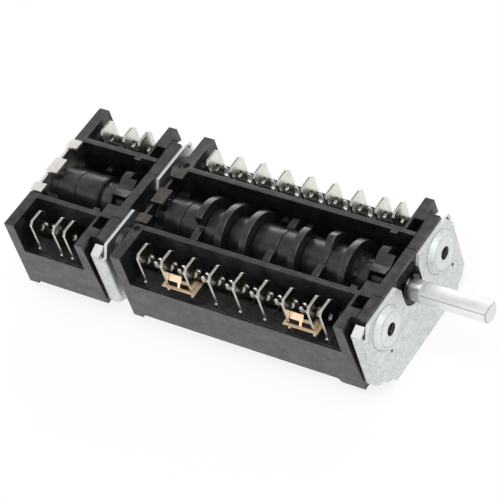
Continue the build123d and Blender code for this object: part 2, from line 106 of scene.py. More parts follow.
# %% Sockets that add and multiply
class Wire:
    """A socket of a material's node tree that takes part in sums."""

    def __init__(self, tree, socket=None):
        self.tree = tree
        self.socket = socket

    def node(self, kind, sockets=None, out=0, **settings):
        """Any node: settings are set first, then the values or links of its sockets."""
        made = self.tree.nodes.new("ShaderNode" + kind)
        for name, value in settings.items():
            setattr(made, name, value)
        for key, value in (sockets or {}).items():
            if isinstance(value, Wire):
                self.tree.links.new(value.socket, made.inputs[key])
            else:
                made.inputs[key].default_value = value
        return Wire(self.tree, made.outputs[out])

    def sum(self, operation, *terms):
        """One Math node on numbers and sockets."""
        return self.node("Math", dict(enumerate(terms)), operation=operation)

    def __add__(self, other):
        return self.sum("ADD", self, other)

    def __sub__(self, other):
        return self.sum("SUBTRACT", self, other)

    def __rsub__(self, other):
        return self.sum("SUBTRACT", other, self)

    def __mul__(self, other):
        return self.sum("MULTIPLY", self, other)

    def __abs__(self):
        return self.sum("ABSOLUTE", self)

    __radd__ = __add__
    __rmul__ = __mul__

    def step(self, low, high):
        """0 below low, 1 above high, a smooth slope between."""
        return self.node("MapRange", {"Value": self, "From Min": low, "From Max": high},
                         interpolation_type="SMOOTHSTEP")

    def mix(self, shade_a, shade_b):
        """A colour between two, with this socket as the share of the second."""
        ends = {6: (*shade_a, 1.0) if isinstance(shade_a, tuple) else shade_a,
                7: (*shade_b, 1.0) if isinstance(shade_b, tuple) else shade_b}
        return self.node("Mix", {0: self, **ends}, out=2, data_type="RGBA")


print("sums of sockets:", [name for name in vars(Wire) if name.startswith("__r")])

# %% [markdown]
# ## Patterns that every finish uses
# All patterns read Object coordinates, so they stay on the piece when the drum turns.
# Noise is measured in features per millimetre, and a stretch makes it into streaks.

# %% Noise in millimetres
def place(tree, stretch=(1, 1, 1)):
    """Object coordinates in millimetres, scaled by stretch along each axis."""
    base = Wire(tree)
    coords = base.node("TexCoord", out="Object")
    scale = tuple(share / MM for share in stretch)
    return base.node("Mapping", {"Vector": coords, "Scale": scale})


def noise(tree, per_mm, detail=2.0, stretch=(1, 1, 1)):
    """Soft noise from 0 to 1 with about per_mm features in a millimetre."""
    return Wire(tree).node("TexNoise", {"Vector": place(tree, stretch), "Scale": per_mm,
                                        "Detail": detail})


def cells(tree, per_mm):
    """Distance to the nearest of many scattered points, per_mm of them in a millimetre."""
    return Wire(tree).node("TexVoronoi", {"Vector": place(tree), "Scale": per_mm})


def bump(tree, height, depth_mm):
    """A normal that follows a height from 0 to 1, depth_mm high."""
    return Wire(tree).node("Bump", {"Height": height, "Distance": depth_mm * MM})


print("patterns:", noise.__name__, cells.__name__, bump.__name__)

# %% [markdown]
# ## Worn and lit corners, and one way to make a finish
# Handling rubs the corners of a moulding pale, and a highlight is painted along them too. The
# Bevel node gives the normal that a rounded corner would have, and where that turns away from the
# real normal, there is a corner.
# A finish sets what is the same all over on the shader itself, and wires only what varies.

# %% Corners and finishes
CORNER_TURN = (0.004, 0.12)


def edge(tree, radius):
    """Near 1 along corners and 0 on flat faces: how far a normal rounded by radius turns."""
    base = Wire(tree)
    soft = base.node("Bevel", {"Radius": radius * MM}, samples=4)
    flat = base.node("NewGeometry", out="Normal")
    same = base.node("VectorMath", {0: soft, 1: flat}, out="Value", operation="DOT_PRODUCT")
    return (1 - same).step(*CORNER_TURN)


def scaled(shade, factor):
    """A colour made brighter or darker by a factor."""
    return tuple(factor * channel for channel in shade)


def finish(name, build, **constants):
    """A material: constants go on the shader's own sockets, and build wires what varies."""
    made = bpy.data.materials.new(name)
    made.use_nodes = True
    tree = made.node_tree
    shader = tree.nodes["Principled BSDF"]
    for socket, value in constants.items():
        shader.inputs[socket.replace("_", " ")].default_value = value
    for socket, wire in build(tree).items():
        tree.links.new(wire.socket, shader.inputs[socket])
    return made


least = math.degrees(math.acos(1 - CORNER_TURN[0]))
print("a corner shows where the normal turns by more than", round(least, 1), "degrees")

# %% [markdown]
# ## Black moulding
# The housings are a dull black thermoset. Its skin is slightly uneven, and greyer at the edges:
# partly rubbed there, partly a highlight painted along each rounded edge. In places a thin glossy
# film shines on it. The cams are a little paler and show fine scuffs around the drum, where the
# springs have run on them. A few noises of different sizes, added up, look more like real material
# than one noise does.

# %% Moulded plastics
RUBBED_AND_LIT_RADIUS = 0.3
SKIN_DEPTH = 0.015


def moulding(tree, dark, pale, rough, scuff):
    """Mottled dark plastic: noises shift the colour, corners are rubbed pale and carry a painted
    highlight, fine grain is a bump.
    """
    cloud = noise(tree, 0.35, 3.0)
    grain = noise(tree, 9.0, 2.0)
    flow = noise(tree, 0.9, 2.0, (0.15, 1, 1))
    shade = (cloud * 0.5 + flow * 0.3 + grain * 0.2).step(0.3, 0.72)
    # Pale corners: partly rubbed wear, partly a highlight painted along each rounded edge.
    rubbed_and_lit = (edge(tree, RUBBED_AND_LIT_RADIUS) * noise(tree, 1.7, 3.0)).step(0.1, 0.6)
    scuffed = noise(tree, 4.0, 2.0, scuff).step(0.6, 0.72)
    body = (rubbed_and_lit * 0.4).mix(shade.mix(dark, pale), scaled(pale, 2.0))
    colour = (scuffed * 0.35).mix(body, scaled(pale, 1.6))
    roughness = rough + (cloud - 0.5) * 0.16 + (grain - 0.5) * 0.12 - scuffed * 0.06
    skin = noise(tree, 5.0, 3.0) * 0.7 + grain * 0.3
    film = (cloud * 0.5 + flow * 0.25 + noise(tree, 1.6, 3.0) * 0.25).step(0.38, 0.66) * 0.45
    return {"Base Color": colour, "Roughness": roughness, "Coat Weight": film,
            "Normal": bump(tree, skin, SKIN_DEPTH)}


def plastic(name, dark, pale, rough, scuff=(1, 1, 1), **constants):
    """One moulded finish, whose colour runs from dark to pale."""
    return finish(name, lambda tree: moulding(tree, dark, pale, rough, scuff), **constants)


housing_black = plastic("housing_black", (0.003, 0.003, 0.003), (0.024, 0.023, 0.026), 0.34,
                        Specular_IOR_Level=0.78, Coat_Roughness=0.3)
cam_black = plastic("cam_black", (0.008, 0.008, 0.009), (0.020, 0.019, 0.022), 0.34,
                    scuff=(2.5, 0.5, 0.5), Specular_IOR_Level=0.6, Coat_Roughness=0.3)
# Almost black and barely shiny: used only to paint shade, in joints and grooves, behind the notch
# and in the ejector marks.
painted_shade_black = plastic("painted_shade_black", (0.004, 0.004, 0.004), (0.008, 0.008, 0.008), 0.8,
                     Specular_IOR_Level=0.06)
print("plastics:", housing_black.name, cam_black.name, painted_shade_black.name)

# %% [markdown]
# ## Zinc-plated sheet
# Plates are stamped from steel sheet and plated with zinc, which gives a fine grain, cloudy
# tones and hairline scratches. Some finishes paint light or shade into the colour: a highlight on
# sheared edges, a paler zinc on the front bosses and darker zinc on sheet in shade. Each such
# place has a finish of its own, made by the same function.

# %% Plated sheet
def plated(tree, dark, pale, rough, lines=(1, 1, 1), depth=0.004, marks=0.2, grain=3.0):
    """Metal with cloudy plating, fine streaks along the rolling direction and light scratches."""
    cloud = noise(tree, 0.4, 4.0)
    streak = noise(tree, grain, 3.0, lines)
    speck = cells(tree, 0.7 * grain)
    tone = (cloud * 0.45 + streak * 0.35 + speck * 0.25).step(0.28, 0.75)
    scratch = noise(tree, 2.6, 2.0, (0.2, 3.0, 0.25)).step(0.62, 0.7)
    colour = (scratch * marks).mix(tone.mix(dark, pale), scaled(dark, 0.75))
    roughness = rough + (streak - 0.5) * 0.16 + (cloud - 0.5) * 0.1
    skin = streak * 0.6 + speck * 0.4 - scratch * 0.4
    return {"Base Color": colour, "Roughness": roughness, "Normal": bump(tree, skin, depth)}


def metal(name, dark, pale, rough, metallic=1.0, **skin):
    """One metal finish, whose colour runs from dark to pale, with the skin that plated() gives."""
    return finish(name, lambda tree: plated(tree, dark, pale, rough, **skin), Metallic=metallic)


zinc = metal("zinc_sheet", (0.53, 0.56, 0.565), (0.79, 0.81, 0.815), 0.46,
             lines=(1, 1, 0.6), depth=0.05, marks=0.4, grain=2.2)
# Paler than the plate's zinc: light painted on the front bosses.
boss_zinc_painted_light = metal("boss_zinc_painted_light", (0.66, 0.69, 0.695), (0.88, 0.90, 0.905), 0.62,
                  lines=(1, 1, 0.6), depth=0.03, marks=0.3)
# Near-white, half-matt zinc: a highlight painted on the sheared edges.
edge_highlight_zinc = metal("sheared_zinc_painted_highlight", (0.93, 0.94, 0.95), (0.98, 0.98, 0.99), 0.5, metallic=0.3)
ring_shade_zinc = metal("zinc_rings_of_painted_shade", (0.36, 0.38, 0.38), (0.50, 0.52, 0.52), 0.5)
cream_zinc = metal("cream_sheet", (0.84, 0.81, 0.75), (0.97, 0.94, 0.89), 0.36,
                   lines=(0.3, 1, 1), depth=0.006)
dull_zinc = metal("dull_end_sheet", (0.06, 0.053, 0.05), (0.14, 0.127, 0.12), 0.42,
                  lines=(1, 1, 0.15))
# Near-black zinc: shade painted on the middle plate's bosses, in the gap between the units.
shaded_zinc = metal("shaded_zinc", (0.03, 0.03, 0.03), (0.07, 0.07, 0.07), 0.35)
print("zinc finishes:", zinc.name, boss_zinc_painted_light.name, edge_highlight_zinc.name, cream_zinc.name)

# %% [markdown]
# ## Tinned brass, copper, bronze and silver
# The blades are brass under a smooth cream coat of tin, and their sheared rims are duller. The
# bridges are bright warm copper and the contacts silver. The springs are bronze painted almost
# black for their shade, and the fingers a pale half-matt silver, a painted highlight. All of them
# are the same plated skin with other tones, streaks and depths.

# %% Contact metals
tin = metal("tinned_brass", (0.62, 0.61, 0.55), (0.84, 0.83, 0.77), 0.2,
            lines=(1, 1, 0.1), depth=0.003)
sheared = metal("sheared_brass", (0.34, 0.32, 0.28), (0.54, 0.51, 0.45), 0.35,
                lines=(0.2, 3, 3), depth=0.003)
bright_edge = metal("bright_edge", (0.68, 0.65, 0.59), (0.84, 0.81, 0.76), 0.3,
                    lines=(0.2, 3, 3), depth=0.002)
copper = metal("bright_copper", (0.88, 0.56, 0.36), (0.99, 0.84, 0.64), 0.32,
               lines=(0.2, 1, 1))
# Near-black bronze: the shade on the springs and strips in the chambers is painted on.
bronze = metal("spring_bronze", (0.03, 0.026, 0.023), (0.08, 0.065, 0.055), 0.35,
               lines=(1, 0.2, 0.2), depth=0.003)
silver = metal("silver_contact", (0.85, 0.84, 0.81), (0.95, 0.94, 0.92), 0.22, depth=0.002)
# Pale, half-matt silver: a highlight painted on the fingers.
finger_silver_painted_highlight = metal("finger_silver_painted_highlight", (0.88, 0.87, 0.84), (0.98, 0.97, 0.95), 0.25,
                      metallic=0.45)
print("contact metals:", tin.name, copper.name, bronze.name, silver.name)

# %% [markdown]
# ## Spindle steel
# The spindle is drawn steel with fine lines along it. Near the plate it is painted darker, a
# painted shade. The edges of its flat are painted dark lines of shade, and the edge of the chamfer
# at its tip is painted dark too.
# Those lines are drawn from Object coordinates, because they lie at known distances.

# %% Steels
SHAFT_TIP = round(box_mm("selector_shaft")[1][0], 2)
SHADED_ROOT, ROOT_FADE = 3.4, 0.6
FLAT_HEIGHT, FLAT_HALF = 1.6, 2.5
RIM_START = (SHAFT_TIP - 0.45, SHAFT_TIP - 0.35)
RIM_END = (SHAFT_TIP - 0.1, SHAFT_TIP - 0.02)


def drawn(tree):
    """Drawn steel with painted shade: darker near the plate, and a dark line where the squared
    distance to an edge of the flat is small.
    """
    wired = plated(tree, (0.80, 0.81, 0.83), (0.88, 0.89, 0.91), 0.4,
                   lines=(0.04, 2.5, 2.5), depth=0.0015, marks=0.08)
    along, across, up = (Wire(tree).node("SeparateXYZ", {0: place(tree)}, out=axis)
                         for axis in "XYZ")
    # Painted shade: the steel is darker near the plate and paler beyond it.
    past_root_shade = along.step(SHADED_ROOT - ROOT_FADE, SHADED_ROOT + ROOT_FADE)
    body = past_root_shade.mix((0.50, 0.51, 0.51), wired["Base Color"])
    beside = abs(across) - FLAT_HALF
    above = up - FLAT_HEIGHT
    line = (1 - (beside * beside + above * above).step(0.02, 0.07)) * past_root_shade * 0.6
    chamfer = along.step(*RIM_END)
    rim = along.step(*RIM_START) * (1 - chamfer)
    # Painted dark lines along the edges of the flat and at the chamfer.
    painted_dark_lines = line + rim * 0.5 + chamfer * 0.12
    wired["Base Color"] = painted_dark_lines.mix(body, (0.22, 0.24, 0.25))
    return wired


spindle_steel = finish("drawn_steel", drawn, Metallic=1.0)
spring_steel = metal("spring_steel", (0.50, 0.50, 0.50), (0.70, 0.70, 0.70), 0.26,
                     lines=(1, 0.2, 1), depth=0.002)
dull_steel = metal("dull_steel", (0.05, 0.05, 0.05), (0.10, 0.10, 0.10), 0.4)
black_steel = metal("blackened_steel", (0.02, 0.02, 0.02), (0.05, 0.05, 0.05), 0.3)
print("spindle ends at", SHAFT_TIP, "mm, its flat is", 2 * FLAT_HALF, "mm wide")

# %% [markdown]
# ## Surfaces from arrays
# Every new piece is a grid of points worked out from two parameters: rows run along a profile and
# columns across or around it. Whole arrays go into the mesh at once, points that fall together
# are merged, and the faces are turned outwards.

# %% Grids and meshes
MERGE_DISTANCE = 0.002


def cell_corners(rows, columns, close_rows, close_columns):
    """Corner numbers of the cells of a grid, which may close on itself either way: a point's
    number is row * columns + column, and a cell joins it to its neighbours beside and ahead."""
    row = np.arange(rows if close_rows else rows - 1)[:, None]
    column = np.arange(columns if close_columns else columns - 1)[None, :]
    ahead = (row + 1) % rows * columns
    beside = (column + 1) % columns
    corners = [row * columns + column, row * columns + beside, ahead + beside, ahead + column]
    return np.stack(np.broadcast_arrays(*corners), axis=-1).reshape(-1, 4)


def patch(x, y, z, close_rows=False, close_columns=False):
    """A grid of points in millimetres with its cells."""
    grid = np.stack(np.broadcast_arrays(x, y, z), axis=-1)
    return grid.reshape(-1, 3), cell_corners(*grid.shape[:2], close_rows, close_columns)


def array_mesh(name, patches):
    """One mesh from several patches, with doubles merged and faces outwards."""
    points = np.concatenate([grid for grid, _ in patches]) * MM
    first = np.cumsum([0] + [len(grid) for grid, _ in patches[:-1]])
    corners = np.concatenate([numbers + start for (_, numbers), start in zip(patches, first)])
    mesh = bpy.data.meshes.new(name)
    mesh.vertices.add(len(points))
    mesh.vertices.foreach_set("co", points.astype(np.float32).ravel())
    mesh.loops.add(corners.size)
    mesh.loops.foreach_set("vertex_index", corners.astype(np.int32).ravel())
    mesh.polygons.add(len(corners))
    mesh.polygons.foreach_set("loop_start", np.arange(0, corners.size, 4, dtype=np.int32))
    mesh.update(calc_edges=True)
    mesh.validate()
    work = bmesh.new()
    work.from_mesh(mesh)
    bmesh.ops.remove_doubles(work, verts=work.verts, dist=MERGE_DISTANCE * MM)
    bmesh.ops.recalc_face_normals(work, faces=work.faces)
    work.to_mesh(mesh)
    work.free()
    return mesh


print("a tube of 3 rings by 8 points has", len(cell_corners(3, 8, False, True)), "cells")

# %% [markdown]
# ## From mesh to piece
# Sheet metal is drawn as a thin surface, and a Solidify modifier gives it its thickness. A Bevel
# modifier then rounds the corners, so a change of either is one number. Each piece also says
# which body it rides on, which finish it takes, and which CAD node it stands for.

# %% Dress a mesh
SHARP_CORNER = math.radians(35)


def dress(mesh, name, materials, body, nodes=(), sheet=0.0, corner=0.0, segments=2):
    """Puts a mesh into the scene: finish, body, sheet thickness and rounded corners."""
    mesh.materials.clear()
    for material in materials:
        mesh.materials.append(material)
    mesh.polygons.foreach_set("use_smooth", np.ones(len(mesh.polygons), dtype=bool))
    mesh.set_sharp_from_angle(angle=SHARP_CORNER)
    piece = bpy.data.objects.new(name, mesh)
    bpy.context.scene.collection.objects.link(piece)
    if sheet:
        wall = piece.modifiers.new("sheet_thickness", "SOLIDIFY")
        wall.thickness = sheet * MM
        wall.offset = 0.0
        wall.use_even_offset = True
        wall.material_offset_rim = min(1, len(materials) - 1)
    if corner:
        soften = piece.modifiers.new("rounded_corners", "BEVEL")
        soften.width = corner * MM
        soften.segments = segments
        soften.limit_method = "ANGLE"
        soften.angle_limit = SHARP_CORNER
        soften.harden_normals = True
        soften.use_clamp_overlap = True
        soften.material = len(materials) - 1
    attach(piece, body)
    if nodes:
        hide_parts(*nodes)


print("corners sharper than", round(math.degrees(SHARP_CORNER)), "degrees are rounded")

# %% [markdown]
# ## Rounded copies
# Real mouldings and stampings have no knife edges: a thin line of light runs along each corner.
# A CAD node is loose triangles, so a copy is merged, its flat faces are joined, and a Bevel
# modifier rounds the corners. The copy stands for the node, and nothing of it moves.
# A plate's sheared edges get a painted highlight, and they are found by the way they face and
# their size.

# %% Round the corners of a CAD piece
FLAT_ANGLE = math.radians(0.5)
LARGEST_EDGE = 45.0


def cut(mesh, tool):
    """The mesh without what lies inside the tool, another closed mesh."""
    pair = [bpy.data.objects.new("to_cut", one) for one in (mesh, tool)]
    for one in pair:
        bpy.context.scene.collection.objects.link(one)
    gap = pair[0].modifiers.new("gap", "BOOLEAN")
    gap.object = pair[1]
    ready = pair[0].evaluated_get(bpy.context.evaluated_depsgraph_get())
    made = bpy.data.meshes.new_from_object(ready)
    for one in pair:
        bpy.data.objects.remove(one)
    return made


def paint_edge_highlights(mesh):
    """Gives the second finish, a painted highlight, to sheared edges: faces up to LARGEST_EDGE
    square millimetres that look up or down, by the sizes of their normal's X and Z."""
    count = len(mesh.polygons)
    normal, area = np.empty(count * 3), np.empty(count)
    mesh.polygons.foreach_get("normal", normal)
    mesh.polygons.foreach_get("area", area)
    x, _, z = np.abs(normal.reshape(-1, 3)).T
    edges = (x < 0.3) & (z > 0.2) & (area < LARGEST_EDGE * MM ** 2)
    mesh.polygons.foreach_set("material_index", edges.astype(np.int32))


def rounded(node, name, materials, body, width, segments=2, tool=None):
    """A merged copy of one CAD node, cut by a tool, with its corners rounded by width mm."""
    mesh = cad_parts[node].data.copy()
    mesh.name = name
    work = bmesh.new()
    work.from_mesh(mesh)
    bmesh.ops.remove_doubles(work, verts=work.verts, dist=MERGE_DISTANCE * MM)
    bmesh.ops.dissolve_limit(work, angle_limit=FLAT_ANGLE, verts=work.verts, edges=work.edges,
                             delimit=set())
    bmesh.ops.recalc_face_normals(work, faces=work.faces)
    mesh.clear_geometry()
    work.to_mesh(mesh)
    work.free()
    mesh = cut(mesh, tool) if tool else mesh
    dress(mesh, name, materials, body, [node], corner=width, segments=segments)
    if len(materials) > 1:
        paint_edge_highlights(mesh)


print("CAD nodes to copy or draw anew:", len(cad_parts))

# %% [markdown]
# ## Moulded housings
# Each housing has a block at its front, which a cover and a bridge close around the spindle.
# The rear journal of each drum lies in an open cradle: above it the end wall has a gap, and the
# tabs of the end plate reach over it. The gap's outline is carried through the wall along X and
# taken out of the copy with a Boolean, before the corners are rounded.

# %% Housings, covers and bridges
CRADLE = [(8.4, 9.0), (8.4, 1.2), (4.55, 1.2), (4.55, 0.0)]
CRADLE_MIDDLE = 2.5
END_WALL, GAP_BEFORE, GAP_BEHIND = 3.4, 0.5, 0.2
CASE_CORNER, BLOCK_CORNER = 0.3, 0.25


def cradle_gap(rear):
    """Closed tool: the gap's outline at both ends of the wall, each end drawn to a point."""
    y, z = np.array(CRADLE + [(-y, z) for y, z in CRADLE[::-1]]).T
    ends = [-GAP_BEFORE, -GAP_BEFORE, END_WALL + GAP_BEHIND, END_WALL + GAP_BEHIND]
    open_row = np.array([0, 1, 1, 0])[:, None]
    return array_mesh("cradle_gap", [patch(np.array(ends)[:, None] + rear, y * open_row,
                                           CRADLE_MIDDLE + (z - CRADLE_MIDDLE) * open_row,
                                           close_columns=True)])


for unit in ("front", "rear"):
    gap = cradle_gap(box_mm(unit + "_housing")[0][0])
    rounded(unit + "_housing", unit + "_case", [housing_black], STILL,
            CASE_CORNER, 3, tool=gap)
    for part in ("bearing_cover", "bearing_bridge"):
        rounded(f"{unit}_{part}", f"{unit}_{part}_block", [housing_black],
                STILL, BLOCK_CORNER, 3)
print("housings rounded, cradle", 2 * CRADLE[0][0], "mm wide")

# %% [markdown]
# ## Stamped plates
# Both mounting plates have a highlight painted on their sheared edges, and the end plates are
# plain.
# Stamping and plating leave softer corners than turning does, so the plates get the wider bevel.

# %% Plates
PLATE_CORNER, END_CORNER = 0.28, 0.2
for node in ("front_mounting_plate", "middle_mounting_plate"):
    rounded(node, node + "_sheet", [zinc, edge_highlight_zinc], STILL, PLATE_CORNER, 3)
rounded("front_unit_end_plate", "front_unit_end_sheet", [dull_zinc], STILL,
        END_CORNER, 3)
rounded("rear_unit_end_plate", "rear_unit_end_sheet", [cream_zinc], STILL,
        END_CORNER, 3)
print("plates rounded by", PLATE_CORNER, "and", END_CORNER, "mm")

# %% [markdown]
# ## Spindle, studs and copper bridges
# The steel spindle, its clip, the coupling shaft and the drums' black arbors turn, so they ride
# on the rotor. Studs and copper bridges stay with the frame. The click spring under the drum keeps
# its CAD mesh, and only its finish changes.

# %% Spindle, studs and links
TURNED_CORNER = 0.12
for node, material, slot in (("selector_shaft", spindle_steel, "spindle_steel"),
                             ("coupling_shaft", dull_steel, "spindle_steel"),
                             ("spindle_clip", black_steel, "fastener_steel"),
                             ("front_drum_arbor", cam_black, "dark_cam_plastic"),
                             ("rear_drum_arbor", cam_black, "dark_cam_plastic")):
    rounded(node, node + "_turned", [material], TURNING, TURNED_CORNER)
rounded("unit_link_studs", "unit_link_studs_steel", [spring_steel], STILL,
        TURNED_CORNER)
for node in ("front_copper_bridge", "rear_copper_bridge"):
    rounded(node, node + "_stamping", [copper], STILL, TURNED_CORNER, 3)
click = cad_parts["click_spring"]
click.data.materials.clear()
click.data.materials.append(spring_steel)
print("spindle, arbors, studs and links rounded by", TURNED_CORNER, "mm")

# %% [markdown]
# ## Shadow in the joints
# Where two mouldings meet, a narrow gap swallows the light. Cutting it into both of them would
# take many faces, so a dark ribbon a quarter of a millimetre wide, thin as a film, paints that
# shadow on each joint, and more of them paint the shade in the grooves along the low outer walls.

# %% Dark ribbons along joints and grooves
COVER_JOINTS = [(-4.0, -19.2, -4.0, -11.0), (-4.0, 6.5, -4.0, 19.2), (-4.0, -11.0, -1.1, -11.0),
                (-4.0, 6.5, -1.1, 6.5)]
PLATE_SHEET = 1.0
RIBBON_SHEET, RIBBON_LIFT = 0.02, 0.01
GROOVE_WIDTH, GROOVE_Z, GROOVE_INSETS = 0.24, -2.24, (0.42, 1.15)
GROOVE_FROM_REAR, GROOVE_FROM_FRONT = 3.5, 8.4


def ribbon(x0, y0, x1, y1, z, width):
    """Flat strip of even width between two points at one height: a point on it is
    start + along * (end - start) + across * (unit normal) * width."""
    length = math.hypot(x1 - x0, y1 - y0)
    along = np.array([[0.0], [1.0]])
    across = np.array([[-0.5, 0.5]]) * width / length
    return patch(x0 + along * (x1 - x0) - across * (y1 - y0),
                 y0 + along * (y1 - y0) + across * (x1 - x0), z)


for unit in ("front", "rear"):
    low, high = box_mm(unit + "_housing")
    front = box_mm(unit + "_bearing_cover")[1][0] + PLATE_SHEET
    strips = [ribbon(front + x0, y0, front + x1, y1, high[2] + RIBBON_LIFT, GROOVE_WIDTH)
              for x0, y0, x1, y1 in COVER_JOINTS]
    strips += [ribbon(low[0] + GROOVE_FROM_REAR, side * (high[1] - inset),
                      front - GROOVE_FROM_FRONT, side * (high[1] - inset), GROOVE_Z, GROOVE_WIDTH)
               for side in (-1, 1) for inset in GROOVE_INSETS]
    dress(array_mesh(unit + "_joints", strips), unit + "_joint_shadows", [painted_shade_black],
          STILL, sheet=RIBBON_SHEET)
print("ribbons on each unit:", len(strips))

# %% [markdown]
# ## Outline of a cam
# Each ring of the drum is a plain sleeve with one cam at its front end. The CAD ring has short
# flat facets. Here the same outline is read as a radius at each angle, so crests and sleeves
# become true arcs, and every cam keeps the lobes that the CAD gives it.

# %% Rings as a radius at each angle
SLEEVE_RADIUS = 6.3
FACE_TOLERANCE = 0.02
around = np.arange(0, 360, 1.25)
rings = [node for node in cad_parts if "cam_ring" in node]


def outline_radius(node, x_face, inner):
    """Radius at each angle of the outline that a node has in the plane x_face: how far its points
    there lie from the spindle's line, with even slopes between their angles."""
    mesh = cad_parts[node].data
    points = np.empty(len(mesh.vertices) * 3)
    mesh.vertices.foreach_get("co", points)
    x, y, z = points.reshape(-1, 3).T / MM
    radius = np.hypot(y, z)
    there = (np.abs(x - x_face) < FACE_TOLERANCE) & (radius > inner)
    angle, first = np.unique(np.round(np.degrees(np.arctan2(z, y)[there]), 2) % 360,
                             return_index=True)
    return np.interp(around, angle, radius[there][first], period=360)


first_cam = outline_radius(rings[0], box_mm(rings[0])[1][0], SLEEVE_RADIUS - 1)
print(rings[0], "reaches", round(first_cam.max(), 2), "mm from the spindle's line")

# %% [markdown]
# ## Cam rings
# The profile of a ring runs from the bore over the sleeve, up the flank and over the crest, and
# is turned about the spindle's line with the radius of the outline. Quarter circles in the
# profile round the corners, so no modifier is needed.

# %% Rings turned from their profile
CAM_WIDTH, RING_CLEARANCE = 2.4, 0.05
BORE_HALF = 3.55
RING_CORNER, LEAST_CORNER, LEAST_CREST = 0.28, 0.03, 0.04


def round_over(x, radius, corner, x_sign, leaving):
    """Rows of a quarter circle from a flat face on to an outer surface, or off it again."""
    turn = np.radians(np.linspace(0, 90, 5))
    turn = turn[::-1] if leaving else turn
    return [(x + x_sign * corner * (1 - np.cos(t)), radius - corner * (1 - np.sin(t)))
            for t in turn]


def ring_patch(node):
    """Closed skin of one ring: bore, rear face, sleeve, flank, crest and front face, each row a
    radius at every angle. The square bore is BORE_HALF / the larger of |cosine| and |sine|."""
    low, high = box_mm(node)
    rear, front = low[0], high[0]
    flank = front + RING_CLEARANCE - CAM_WIDTH
    crest = np.maximum(outline_radius(node, front, SLEEVE_RADIUS - 1),
                       SLEEVE_RADIUS + LEAST_CREST)
    corner = np.clip(crest - SLEEVE_RADIUS, LEAST_CORNER, RING_CORNER)
    turn = np.radians(around)
    bore = BORE_HALF / np.maximum(np.abs(np.cos(turn)), np.abs(np.sin(turn)))
    rows = [(rear, bore)]
    rows += round_over(rear, SLEEVE_RADIUS, RING_CORNER, 1, False)
    rows += [(flank, SLEEVE_RADIUS)]
    rows += round_over(flank, crest, corner, 1, False)
    rows += round_over(front, crest, corner, -1, True)
    rows += [(front, bore)]
    x = np.array([np.broadcast_to(row[0], around.shape) for row in rows])
    radius = np.array([np.broadcast_to(row[1], around.shape) for row in rows])
    return patch(x, radius * np.cos(turn), radius * np.sin(turn), True, True)


for node in rings:
    dress(array_mesh(node + "_skin", [ring_patch(node)]), node + "_turned", [cam_black],
          TURNING, [node])
print("cam rings:", len(rings))

# %% [markdown]
# ## Terminals
# A push-on blade is stamped from tinned brass sheet: bevelled shoulders, one round hole, and a
# tail that drops through the ledge. The face is worked out as rays from the hole to the edge,
# so the hole is truly round. The sheet gets its thickness and its bright sheared rim from
# modifiers.

# %% Stamped blades
BLADE_INNER, BLADE_OUTER, BLADE_TOP = 15.2, 21.5, 8.0
BLADE_SHEET, BLADE_CORNER, BLADE_CHAMFER = 0.8, 0.2, 1.1
HOLE_Z, HOLE_RADIUS = 3.4, 0.85
LEDGE_Z, STEP_Z, TAIL_Z = -3.0, -11.2, -12.7
FACE_END_Z = LEDGE_Z - 0.2
TAIL_OUTER, FOOT_INNER = 20.6, 14.2
LUG_Y, LUG_ROWS = 21.51, [(LEDGE_Z, 0.44), (-1.8, 0.44), (-1.4, 0.0)]
SEAM = 0.01
BLADE_HALF = (BLADE_OUTER - BLADE_INNER) / 2
BLADE_MIDDLE = (BLADE_INNER + BLADE_OUTER) / 2
FACE_RISE, FACE_DROP = BLADE_TOP - HOLE_Z, HOLE_Z - FACE_END_Z


def edge_reach(turn):
    """Distance from the hole to the blade's edge: the nearest straight side in that direction."""
    slant = (BLADE_HALF + FACE_RISE - BLADE_CHAMFER) / math.sqrt(2)
    sides = np.radians([0, 45, 90, 135, 180, 270])
    reach = np.array([BLADE_HALF, slant, FACE_RISE, slant, BLADE_HALF, FACE_DROP])
    facing = np.cos(turn[:, None] - sides)
    return np.min(np.where(facing > 0.01, reach / np.maximum(facing, 0.01), np.inf), axis=1)


def blade_patches(x, side):
    """Face with its round hole, lug on the ledge, tail and foot, all in the plane x: a point of
    the face is the hole's centre + a ray that grows from the hole's rim to the edge."""
    corners = np.arctan2([FACE_RISE - BLADE_CHAMFER, FACE_RISE, -FACE_DROP],
                         [BLADE_HALF, BLADE_HALF - BLADE_CHAMFER, BLADE_HALF])
    turn = np.unique(np.concatenate([np.radians(np.arange(-90, 270, 10)), corners,
                                     math.pi - corners]).round(6) % (2 * math.pi))
    share = np.array([0.0, 0.35, 1.0])[:, None]
    ray = HOLE_RADIUS + (edge_reach(turn) - HOLE_RADIUS) * share
    face = patch(x, side * (BLADE_MIDDLE + ray * np.cos(turn)), HOLE_Z + ray * np.sin(turn),
                 close_columns=True)
    height, width = np.array(LUG_ROWS).T[:, :, None]
    lug = patch(x, side * (LUG_Y + width * np.array([0, 1])), height)
    tail = patch(x, side * np.array([[BLADE_INNER, TAIL_OUTER]]),
                 np.array([[FACE_END_Z - SEAM], [STEP_Z]]))
    foot = patch(x, side * np.array([[FOOT_INNER, BLADE_INNER, TAIL_OUTER]]),
                 np.array([[STEP_Z], [TAIL_Z]]))
    return [face, lug, tail, foot]


print("blade", round(2 * BLADE_HALF, 2), "by", BLADE_SHEET, "mm, hole", 2 * HOLE_RADIUS, "mm")

# %% [markdown]
# ## Fixed contacts
# A strip bent from the blade runs beside it and carries a silver rivet, the fixed contact. On the
# front unit a bright finger is bent up from that strip too. The rivet's head is a flattened ball,
# a better likeness than a flat disc, and strip and finger are routes that are widened into sheet.

